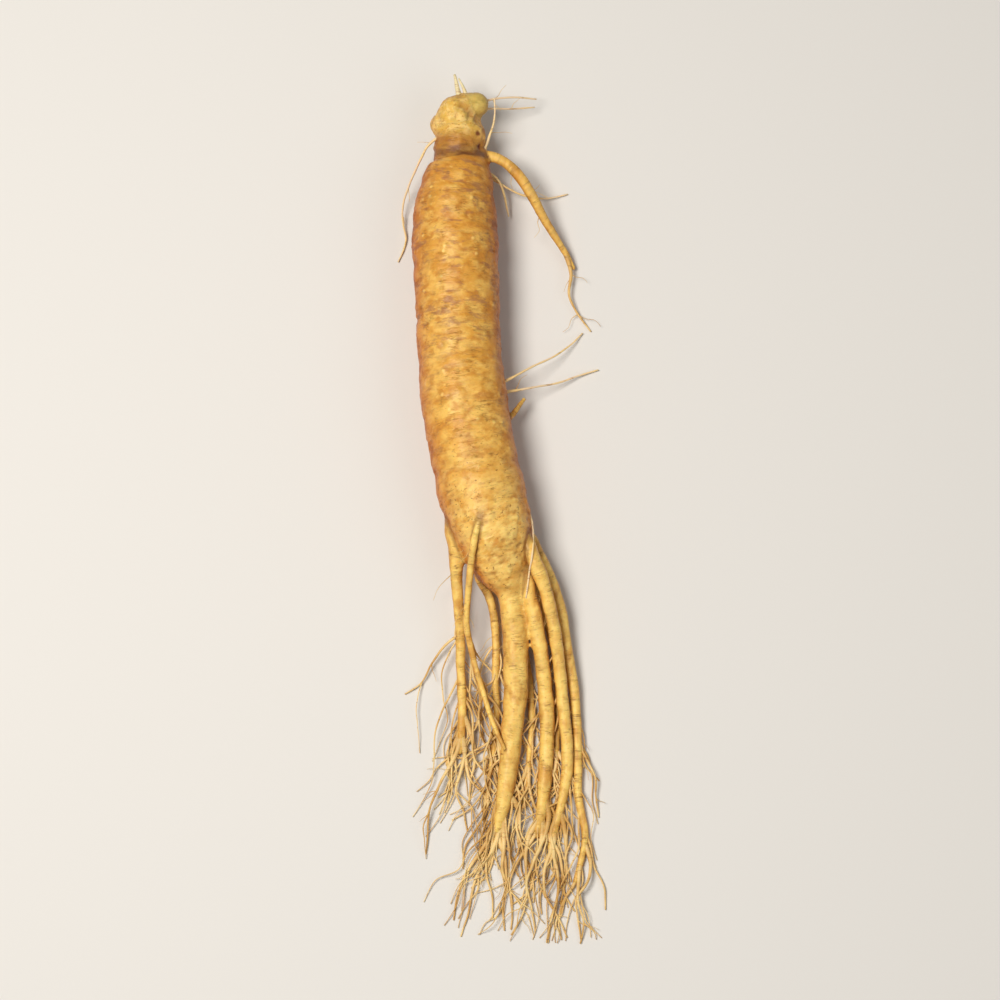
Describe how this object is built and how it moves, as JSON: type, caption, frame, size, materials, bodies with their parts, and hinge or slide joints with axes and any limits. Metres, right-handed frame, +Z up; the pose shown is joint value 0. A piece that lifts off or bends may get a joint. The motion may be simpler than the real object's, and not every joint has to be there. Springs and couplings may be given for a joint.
{
  "type": "ginseng root",
  "caption": "Fresh ginseng root lying down: a thick, gently curved body with a knobbed crown, a side arm, long tapering legs and a fringe of fine rootlets, grown as one piece.",
  "frame": {"origin": "middle of the flat spot under the heavy part of the body, on the surface that the root lies on", "axes": "+Y along the root towards its crown, -Y towards its legs, +X towards the side that the arm grows from, +Z up"},
  "size_m": [0.0661, 0.2759, 0.0269],
  "materials": {
    "root_skin": "satin, washed fresh root skin, golden tan with brown rings and patches"
  },
  "bodies": {
    "root": {"ginseng_root": "root_skin"}
  },
  "joints": []
}
